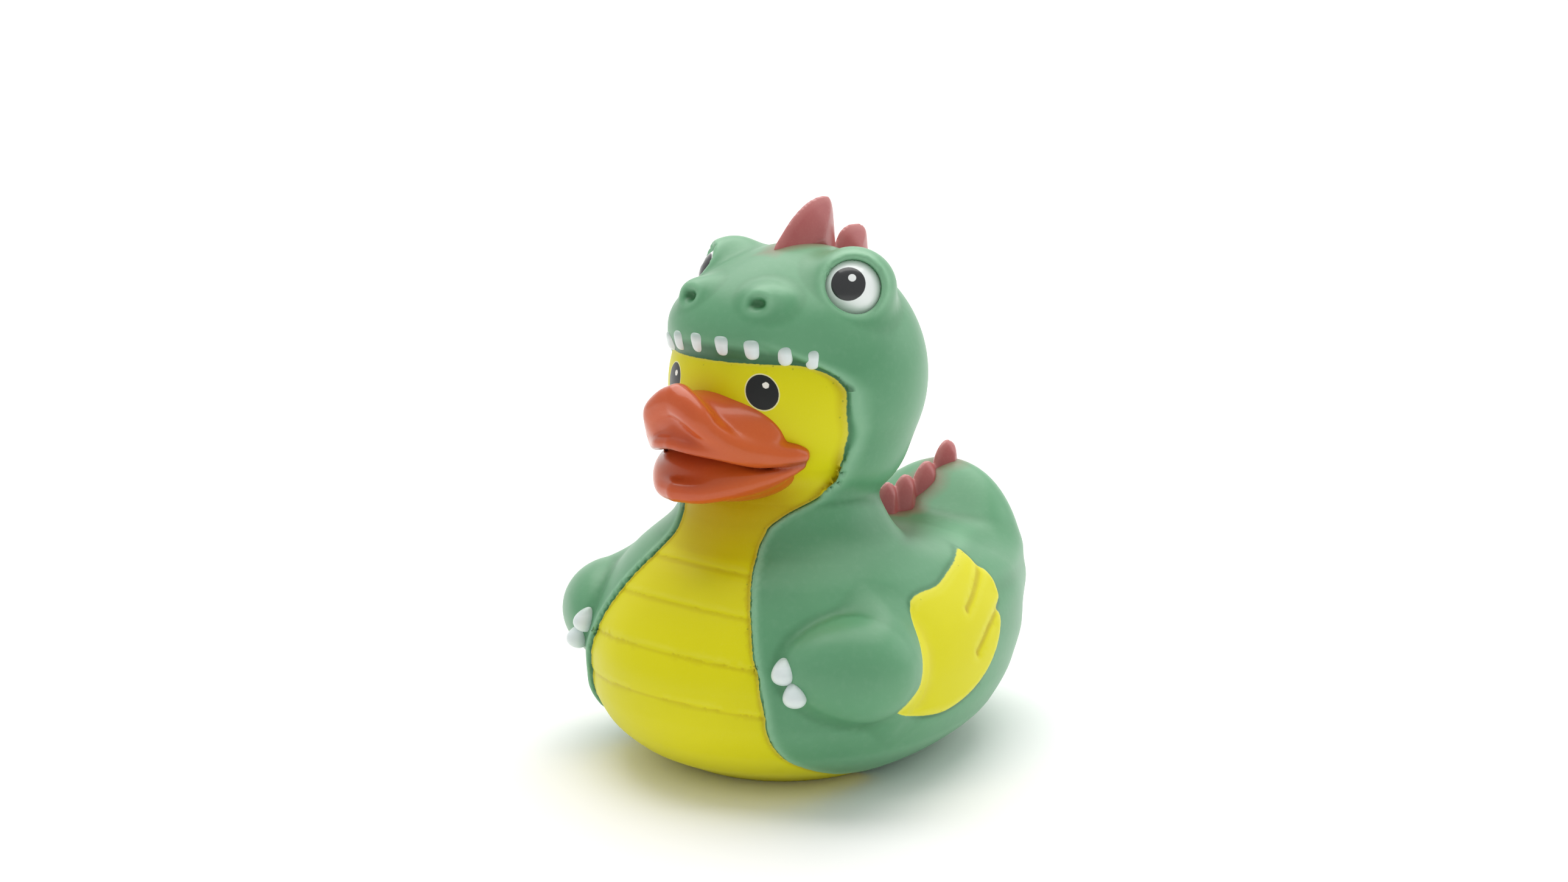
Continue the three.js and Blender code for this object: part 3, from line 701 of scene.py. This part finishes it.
# %% Bill field
ROLL = rounded([(0, -24.4, 61.2, 2.6), (2.0, -24.6, 60.5, 2.4), (4.3, -24.4, 58.9, 2.2),
                (5.5, -23.6, 57.3, 1.9), (6.9, -22.2, 55.8, 1.7), (8.1, -20.9, 54.8, 1.6),
                (10.2, -18.0, 53.6, 1.5), (12.3, -13.2, 52.9, 1.3), (12.9, -11.0, 52.4, 1.1)], 6, False)
UPPER_LIP = rounded([(0, -26.0, 54.7, 0.95), (3.6, -25.0, 54.1, 0.95), (7, -21.9, 53.1, 0.95),
                     (9.3, -19.0, 52.3, 1.0), (11, -16.2, 51.8, 1.0), (12.4, -13.4, 51.9, 1.1),
                     (12.9, -11.0, 52.2, 1.1)], 6, False)
LOWER_LIP = rounded([(0, -24.9, 47.2, 1.7), (3.8, -23.3, 47.2, 1.7), (7.2, -20.4, 47.9, 1.6),
                     (10, -16.8, 49.0, 1.5), (12, -13.4, 50.0, 1.2), (12.9, -11.0, 51.0, 1.0)], 6, False)
MOUTH_X = [0, 3.6, 7, 9.3, 11, 12.6, 14, 20]
MOUTH_Z = [53.9, 53.3, 52.4, 51.5, 51.0, 51.0, 51.4, 51.5]
GAPE_X = [0, 9, 11.6, 13]
GAPE = [0.35, 0.35, 0.1, -0.8]
UPPER_BILL = (0, -14.3, 54.8), (9.7, 11.0, 5.8), tilt(-8)
BILL_ROOT = (0, -14.0, 54.8), (11.8, 8.6, 7.5)
BILL_PANEL = (0, -18.6, 56.6), (6.4, 6.6, 4.8), tilt(-10)
LOWER_BILL = (0, -12.6, 49.0), (11.2, 11.2, 5.0)
MOUTH_CORNER = (12.2, -11.8, 52.2), (1.5, 2.0, 2.0)
MOUTH_FILL = (0, -11.2, 51.7), (11.3, 9.2, 3.4)


def bill(p):
    """Two rolls round a hollow panel above the mouth, and one roll round a dish below it."""
    q = p.copy()
    q[:, 0] = np.sqrt(q[:, 0] ** 2 + 0.02)
    x, _, z = q.T
    up = melt(ball(q, *UPPER_BILL), ball(q, *BILL_ROOT), 1.5)
    up = melt(up, ball(q, *BILL_PANEL), 1.5)
    up = melt(melt(up, cord_of(q, ROLL), 1.5), cord_of(q, UPPER_LIP), 1.8)
    low = melt(ball(q, *LOWER_BILL), cord_of(q, LOWER_LIP), 1.8)
    mouth = smooth_through(x, MOUTH_X, MOUTH_Z)
    low = carve(low, z - mouth + smooth_through(x, GAPE_X, GAPE), 0.6)
    up = carve(up, mouth - 0.1 - z, 0.6)
    corner = melt(melt(up, low, 0.4), ball(q, *MOUTH_CORNER), 0.9)
    return melt(corner, ball(q, *MOUTH_FILL), 0.5)


bill_points, bill_faces = lattice_surface(bill, (-17, -31, 42), (17, 2, 67), 0.42)
add_piece("bill", bill_points + STEP_Y, bill_faces, {
    "lift": bill_points[:, 2] - smooth_through(np.abs(bill_points[:, 0]), MOUTH_X, MOUTH_Z),
    "aside": np.abs(bill_points[:, 0])})

# %% [markdown]
# ## Eyes, teeth and claws
# The costume's eyes are polished white domes set in their sockets. Teeth are small white pegs with full
# shoulders, and claws are cones with round tips. Each is a surface of two parameters: an angle round an
# axis, and a place along it.

# %% Domes, teeth and claws
def on_axis(axis):
    """Three unit directions, the last along the axis."""
    w = unit(*axis)
    u = np.cross((0.0, 0.0, 1.0) if abs(w[2]) < 0.9 else (0.0, 1.0, 0.0), w)
    u /= np.linalg.norm(u)
    return np.stack([u, np.cross(w, u), w])


def egg(centre, axis, across, deep, along, taper=0.0, square=1.0, rings=24, around=36):
    """Ring radius sin(t) times 1 - taper cos(t), at height cos(t) along the axis, both raised to
    the power 1 / square, which fills the shoulders out."""
    t = np.linspace(np.pi, 0, rings)[:, None]
    a = np.linspace(0, 2 * np.pi, around, endpoint=False)[None]
    level = np.sign(np.cos(t)) * np.abs(np.cos(t)) ** (1 / square)
    r = np.maximum(np.sin(t), 0) ** (1 / square) * (1 - taper * level)
    local = np.stack([r * np.cos(a) * across, r * np.sin(a) * deep, level * along + 0 * a], -1)
    return np.asarray(centre) + local @ on_axis(axis)


PUPIL_CENTRE = unit(0.54, -0.76, 0.37)
PUPIL_RADIUS = 2.75
GLINT_RADIUS = 0.62
EYE_GLINT = unit(0.60, -0.65, 0.52)
TEETH = [(2.5, -17.0, 68.3), (7.3, -15.8, 68.0), (11.5, -13.1, 67.2), (14.4, -10.3, 66.6)]
CLAWS = [(21.3, -24.4, 22.7), (23.3, -24.1, 19.5)]

for side, label in ((1, "left"), (-1, "right")):
    turn = np.array([side, 1, 1])
    rows = egg(EYE_CENTRE, EYE_AXIS, EYE_RADIUS, EYE_RADIUS, EYE_RADIUS, rings=64, around=96)
    points, faces = wrapped(rows)
    away = (points - EYE_CENTRE) / EYE_RADIUS
    pupil = PUPIL_RADIUS - np.linalg.norm(away - PUPIL_CENTRE, axis=-1) * EYE_RADIUS
    glint = GLINT_RADIUS - np.linalg.norm(away - EYE_GLINT, axis=-1) * EYE_RADIUS
    add_piece(f"costume_eye_{label}", points * turn + STEP_Y, faces[:, ::side],
              {"pupil": pupil, "glint": glint})
    for n, tooth in enumerate(TEETH):
        rows = egg(np.array(tooth) + (0, 0.15, 0.75), (0.02 * n, 0.12, -1), 1.45, 1.1, 1.6,
                   taper=0.16, square=1.6)
        points, faces = wrapped(rows)
        add_piece(f"tooth_{label}_{n}", points * turn + STEP_Y, faces[:, ::side],
                  {"root": points[:, 2] - tooth[2]})
    for n, claw in enumerate(CLAWS):
        rows = egg(claw, (-0.25, 0.35, 1), 1.65, 1.8, 2.1, taper=0.34)
        points, faces = wrapped(rows)
        add_piece(f"claw_{label}_{n}", points * turn + STEP_Y, faces[:, ::side],
                  {"root": points[:, 2] - claw[2]})

# %% [markdown]
# ## Writing shaders as sums
# A finish is a formula: this colour here, that colour there, a little noise on the edge between them. The
# small class below wraps a socket, so that a formula can be written with plus, minus and times, and one
# method makes any other node. Colours are written as they look on screen and turned into light values.

# %% Shader helpers
def screen(r, g, b):
    """Light values of a colour given from 0 to 255: the screen's curve undone."""
    c = np.array([r, g, b]) / 255
    c = np.where(c <= 0.04045, c / 12.92, ((c + 0.055) / 1.055) ** 2.4)
    return tuple(float(v) for v in c) + (1.0,)


class Value:
    """A socket that does sums: each operator adds one Math node."""

    def __init__(self, finish, socket):
        self.finish, self.socket = finish, socket

    def sum_of(self, operation, *inputs, clamp=False):
        node = self.finish.tree.nodes.new("ShaderNodeMath")
        node.operation, node.use_clamp = operation, clamp
        for k, value in enumerate(inputs):
            self.finish.feed(node.inputs[k], value)
        return Value(self.finish, node.outputs[0])

    def __add__(self, other):
        return self.sum_of("ADD", self, other)

    def __radd__(self, other):
        return self.sum_of("ADD", other, self)

    def __sub__(self, other):
        return self.sum_of("SUBTRACT", self, other)

    def __rsub__(self, other):
        return self.sum_of("SUBTRACT", other, self)

    def __mul__(self, other):
        return self.sum_of("MULTIPLY", self, other)

    def __rmul__(self, other):
        return self.sum_of("MULTIPLY", other, self)

    def __truediv__(self, other):
        return self.sum_of("DIVIDE", self, other)

    def __neg__(self):
        return self.sum_of("MULTIPLY", self, -1.0)

    def most(self, other):
        return self.sum_of("MAXIMUM", self, other)

    def clipped(self):
        return self.sum_of("ADD", self, 0.0, clamp=True)

    def ramp(self, start, end):
        """0 below start and 1 above end, running evenly between them."""
        return self.sum_of("DIVIDE", self - start, end - start, clamp=True)


class Finish:
    """One material with its Principled shader."""

    def __init__(self, name, **constants):
        self.material = bpy.data.materials.new(name)
        self.material.use_nodes = True
        self.tree = self.material.node_tree
        self.shader = next(n for n in self.tree.nodes if n.type == "BSDF_PRINCIPLED")
        for key, value in constants.items():
            self.shader.inputs[key.replace("_", " ")].default_value = value
        self.place = self.node("ShaderNodeTexCoord", out="Object")

    def feed(self, socket, value):
        if isinstance(value, Value):
            self.tree.links.new(value.socket, socket)
        else:
            socket.default_value = value

    def node(self, kind, settings=None, out=0, **inputs):
        """Any node: its settings first, then its sockets by name, or by number as _0, _1."""
        node = self.tree.nodes.new(kind)
        for key, value in (settings or {}).items():
            setattr(node, key, value)
        for key, value in inputs.items():
            socket = node.inputs[int(key[1:])] if key[0] == "_" else node.inputs[key.replace("_", " ")]
            self.feed(socket, value)
        return Value(self, node.outputs[out])

    def mask(self, name):
        """A number that was stored on the mesh."""
        return self.node("ShaderNodeAttribute", {"attribute_name": name}, out="Fac")

    def noise(self, scale, detail=3.0):
        """Cloudy noise about nothing, from -1 to 1, with scale bumps to the metre."""
        cloud = self.node("ShaderNodeTexNoise", Vector=self.place, Scale=scale, Detail=detail)
        return cloud * 2.0 - 1.0

    def mix(self, factor, a, b):
        """Colour a where the factor is 0 and b where it is 1."""
        return self.node("ShaderNodeMix", {"data_type": "RGBA"}, out=2, _0=factor, _6=a, _7=b)

    def bump(self, height, strength, distance):
        """Turns a height into tilted normals."""
        bump = self.node("ShaderNodeBump", Height=height, Strength=strength, Distance=distance)
        self.feed(self.shader.inputs["Normal"], bump)

    def set(self, **sockets):
        for key, value in sockets.items():
            self.feed(self.shader.inputs[key.replace("_", " ")], value)

    def on(self, *names):
        for name in names:
            pieces[name].data.materials.append(self.material)


# %% [markdown]
# ## The painted skin
# The moulding is sprayed through metal masks, one colour at a time. That gives a soft satin skin with edges
# that are slightly ragged, a few stray specks of paint beside them, and a mist of the spikes' red round
# their feet. Shade is painted in as a darker colour in hollows, under the lip and under the bill, and a
# painted highlight lightens the ridges. The finish makes the green, then the yellow, then the border
# between the two with its specks, and last the printed eyes.

# %% Skin paint
paint = Finish("sprayed_costume", Coat_Roughness=0.34, Specular_IOR_Level=0.14)
cloudy = paint.noise(70.0)
fine = paint.noise(900.0, 2.0)
grain = paint.noise(3800.0, 2.0)
hollow_shade_ridge_light = paint.mask("hollow_shade_ridge_light")
ragged = paint.noise(1500.0) * 0.10 + paint.noise(420.0) * 0.06

green = paint.mix((cloudy * 0.5 + 0.5).clipped(), screen(83, 144, 103), screen(101, 162, 119))
# Painted shade: the green darkens in hollows.
green = paint.mix((hollow_shade_ridge_light * 1.1 + 0.05).clipped(), green, screen(52, 112, 68))
# Painted highlight: the green lightens on ridges.
green = paint.mix((hollow_shade_ridge_light * -1.0 - 0.05).clipped() * 0.6, green, screen(150, 202, 164))
# Painted shade: a darker green band under the lip.
green = paint.mix(paint.mask("gum_shade").ramp(-0.3, 0.7) * 0.75, green, screen(44, 96, 60))
green = paint.mix((fine * 0.5).clipped() * 0.10, green, screen(200, 225, 205))
mist = paint.mask("spray").ramp(2.4, 0.0) * 0.75 * (0.75 + grain * 0.35)
green = paint.mix(mist.clipped(), green, screen(150, 78, 74))

yellow = paint.mix((cloudy * 0.5 + 0.5).clipped(), screen(218, 211, 8), screen(227, 221, 20))
# Painted shade: the yellow darkens in hollows.
yellow = paint.mix((hollow_shade_ridge_light * 0.9).clipped() * 0.8, yellow, screen(176, 146, 0))
# Painted shade: the yellow darkens under the bill.
yellow = paint.mix(paint.mask("chin_shade").ramp(4.0, -2.0) * 0.6, yellow, screen(176, 146, 0))
yellow = paint.mix((grain * 0.6).clipped() * 0.16, yellow, screen(238, 232, 120))
# Painted highlight: the yellow lightens on ridges.
yellow = paint.mix((hollow_shade_ridge_light * -1.0 - 0.1).clipped() * 0.5, yellow, screen(236, 232, 96))

opening = paint.mask("opening") + ragged
wing = paint.mask("wing") + ragged
inside = opening.most(wing)
yellow = paint.mix(inside.ramp(0.45, 0.05) * 0.45, yellow, screen(240, 234, 90))
specks = paint.node("ShaderNodeTexVoronoi", out="Distance", Vector=paint.place, Scale=820.0)
stray = (specks.ramp(0.16, 0.10) * inside.ramp(1.3, 0.2) * inside.ramp(-0.2, 0.05)).clipped()
yellow = paint.mix(stray * 0.5, yellow, screen(96, 120, 40))
skin_colour = paint.mix(inside.ramp(-0.05, 0.05), green, yellow)

spot = paint.mask("eye_spot") + ragged * 0.3
skin_colour = paint.mix(spot.ramp(-0.24, -0.16), skin_colour, screen(232, 228, 170))
black = paint.mix(paint.noise(2600.0).ramp(0.42, 0.6), screen(38, 40, 40), screen(92, 92, 88))
skin_colour = paint.mix(spot.ramp(-0.05, 0.04), skin_colour, black)
glint = paint.mask("eye_glint")
skin_colour = paint.mix(glint.ramp(-0.04, 0.04), skin_colour, screen(244, 242, 232))

paint.set(Coat_Weight=0.50 - inside.ramp(-0.05, 0.05) * 0.36)
worn = 0.44 + cloudy * 0.03 + grain * 0.04
paint.set(Base_Color=skin_colour, Roughness=worn - spot.ramp(0, 0.1) * 0.14)
paint.bump(cloudy * 0.05 + fine * 0.25 + grain * 0.3, 0.18, 0.00006)
paint.on("moulded_skin")

# %% [markdown]
# ## The bill's paint
# The bill is sprayed last, in a glossier orange red that is warmer on its sides. Along the line where upper
# and lower bill meet, painted shade of the mouth's gap deepens the red.

# %% Bill paint
gloss = Finish("bill_orange", Coat_Weight=0.38, Coat_Roughness=0.12, Specular_IOR_Level=0.35)
warm = gloss.noise(140.0)
red = gloss.mix((warm * 0.5 + 0.5).clipped(), screen(194, 78, 34), screen(206, 92, 44))
aside = gloss.mask("aside").ramp(3.0, 10.0)
red = gloss.mix(aside * 0.75, red, screen(206, 92, 22))
# Painted shade along the mouth line, strongest where upper and lower bill meet.
line = gloss.mask("lift") + 0.2
mouth_line_shade = line.most(-line).ramp(0.9, 0.2)
red = gloss.mix(mouth_line_shade * 0.6, red, screen(128, 40, 24))
dust = gloss.noise(2400.0, 2.0)
red = gloss.mix((dust * 0.5).clipped() * 0.12, red, screen(232, 150, 104))
gloss.set(Base_Color=red, Roughness=0.30 + dust * 0.05)
gloss.bump(warm * 0.3 + dust * 0.2, 0.15, 0.00006)
gloss.on("bill")

# %% [markdown]
# ## The spikes' paint
# The spikes are sprayed a dusty dark red and left a little glossy. A painted highlight along the ridge
# makes the finish paler near the middle plane.

# %% Spike paint
maroon = Finish("spike_red", Coat_Weight=0.2, Coat_Roughness=0.2)
patch = maroon.noise(260.0)
red = maroon.mix((patch * 0.5 + 0.5).clipped(), screen(166, 76, 76), screen(184, 98, 96))
# Painted highlight: paler near the middle plane, along the ridge.
red = maroon.mix(maroon.mask("ridge_highlight").ramp(0.9, 0.1) * 0.35, red, screen(226, 158, 154))
dust = maroon.noise(2600.0, 2.0)
red = maroon.mix((dust * 0.6).clipped() * 0.15, red, screen(224, 170, 160))
maroon.set(Base_Color=red, Roughness=0.36 + patch * 0.04 + dust * 0.05)
maroon.bump(patch * 0.4 + dust * 0.2, 0.2, 0.00006)
maroon.on("head_spikes", "nape_spikes", "back_spikes")

# %% [markdown]
# ## White enamel
# The costume's eyes, its teeth and its claws are dabbed with a cool white. The pupils and their glints are
# printed on the domes, so they are round spots measured from a point on the ball. Teeth and claws turn
# greenish towards their upper ends, partly where the white runs out over the green and partly as painted
# shade, under the lip for the teeth and at the claws' tips.

# %% White enamel
enamel = Finish("eye_white", Coat_Weight=0.5, Coat_Roughness=0.08)
soft = enamel.noise(220.0)
white = enamel.mix((soft * 0.5 + 0.5).clipped(), screen(247, 254, 252), screen(252, 255, 254))
pupil = enamel.mask("pupil") + enamel.noise(1500.0) * 0.03
dark = enamel.mix(enamel.noise(2600.0).ramp(0.42, 0.6), screen(38, 40, 42), screen(96, 98, 98))
white = enamel.mix(pupil.ramp(-0.05, 0.05), white, dark)
white = enamel.mix(enamel.mask("glint").ramp(-0.04, 0.04), white, screen(244, 248, 246))
enamel.set(Base_Color=white, Roughness=0.24 + soft * 0.03)
enamel.bump(soft, 0.1, 0.00004)
enamel.on("costume_eye_left", "costume_eye_right")

bone = Finish("tooth_white", Coat_Weight=0.25, Coat_Roughness=0.2)
soft = bone.noise(500.0)
speck = bone.noise(2200.0, 2.0)
# Greener towards the upper end: thin white over the green, and painted shade under the lip and at the
# claws' tips.
root = bone.mask("root") + soft * 0.3
white = bone.mix((soft * 0.5 + 0.5).clipped(), screen(216, 230, 230), screen(236, 244, 242))
white = bone.mix(root.ramp(0.9, 2.4) * 0.7, white, screen(120, 158, 136))
white = bone.mix(speck.ramp(0.62, 0.72) * 0.5, white, screen(90, 120, 100))
bone.set(Base_Color=white, Roughness=0.34 + speck * 0.05)
bone.bump(soft, 0.15, 0.00005)
bone.on(*[name for name in pieces if name.startswith(("tooth", "claw"))])
print("materials:", len(bpy.data.materials))

# %% [markdown]
# ## Floor
# The duck stands on a white table. A pale floor runs into a pale backdrop as one curved sheet, as in a
# photographer's studio, so no horizon shows behind the duck and only a soft shadow lies under it.

# %% Floor
VIEW_TURN, VIEW_DROP, VIEW_AWAY, AIM_HEIGHT = 41.3, 11.4, 343.1, 51.2


def sheet_floor():
    """A profile carried along x: flat under the duck, then a quarter circle up to a wall."""
    bend = np.linspace(0, np.pi / 2, 24)
    along = np.concatenate([[-1.6, -0.5], 0.55 + 0.5 * np.sin(bend), [1.05]])
    up = np.concatenate([[0, 0], 0.5 * (1 - np.cos(bend)), [2.2]])
    turn = math.radians(-VIEW_TURN)
    grid = np.stack([np.stack([x * math.cos(turn) + along * math.sin(turn),
                               along * math.cos(turn) - x * math.sin(turn), up], -1)
                     for x in (-2.5, 2.5)], 1)
    count = len(along)
    k = np.arange(count - 1) * 2
    mesh = bpy.data.meshes.new("floor")
    mesh.from_pydata(grid.reshape(-1, 3).tolist(), [], np.stack([k, k + 1, k + 3, k + 2], -1).tolist())
    floor = bpy.data.objects.new("floor", mesh)
    bpy.context.scene.collection.objects.link(floor)
    mesh.polygons.foreach_set("use_smooth", np.ones(count - 1, bool))
    return floor


floor = sheet_floor()
table = Finish("pale_table", Roughness=0.55, Specular_IOR_Level=0.15)
blotch = (table.noise(3.0) * 0.5 + 0.5).clipped()
table.set(Base_Color=table.mix(blotch, screen(251, 252, 252), screen(253, 253, 252)))
floor.data.materials.append(table.material)

# %% [markdown]
# ## Light and camera
# The light is wide and soft and comes from above. A large lamp hangs over the duck, a weaker one stands
# behind it on its left, and a plain sky fills the shadows. The camera stands as far off as the perspective
# in the photo says, forty-one degrees round to the duck's left, and looks down by eleven degrees.

# %% Light and camera
def soft_lamp(name, place, aim, size, watts, colour):
    """A square area lamp that looks at a point."""
    data = bpy.data.lights.new(name, "AREA")
    data.size, data.energy, data.color = size, watts, colour
    lamp = bpy.data.objects.new(name, data)
    lamp.location = place
    lamp.rotation_mode = "QUATERNION"
    lamp.rotation_quaternion = (Vector(aim) - Vector(place)).to_track_quat("-Z", "Y")
    bpy.context.scene.collection.objects.link(lamp)


soft_lamp("overhead", (-0.22, 0.26, 0.90), (0, 0, 0.04), 1.1, 9.5, (1.0, 0.99, 0.97))
soft_lamp("window", (0.45, 0.75, 0.45), (0, 0, 0.05), 0.7, 1.6, (0.97, 0.99, 1.0))

world = bpy.data.worlds.new("studio")
bpy.context.scene.world = world
world.use_nodes = True
sky = world.node_tree.nodes["Background"]
sky.inputs["Color"].default_value = (1.0, 1.0, 1.0, 1.0)
sky.inputs["Strength"].default_value = 0.58

SENSOR_WIDTH, FOCAL_PIXELS, PHOTO_WIDTH = 36.0, 3500, 2576
turn, drop = math.radians(VIEW_TURN), math.radians(VIEW_DROP)
back = np.array([math.sin(turn) * math.cos(drop), -math.cos(turn) * math.cos(drop), math.sin(drop)])
aim = np.array([0, 0, AIM_HEIGHT]) + STEP_Y
camera_data = bpy.data.cameras.new("camera")
camera_data.sensor_width = SENSOR_WIDTH
camera_data.lens = FOCAL_PIXELS / PHOTO_WIDTH * SENSOR_WIDTH
camera_data.clip_start, camera_data.clip_end = 0.01, 20
camera = bpy.data.objects.new("camera", camera_data)
camera.location = (aim + back * VIEW_AWAY) * MM
camera.rotation_mode = "XYZ"
camera.rotation_euler = (math.pi / 2 - drop, 0, turn)
bpy.context.scene.collection.objects.link(camera)
bpy.context.scene.camera = camera
bpy.context.scene.view_settings.view_transform = "Standard"

# %% [markdown]
# ## The last update
# The box of all the pieces has to match the box of the imported model, as both are the same duck. The last
# line updates the scene.

# %% Update the scene
bpy.context.view_layer.update()
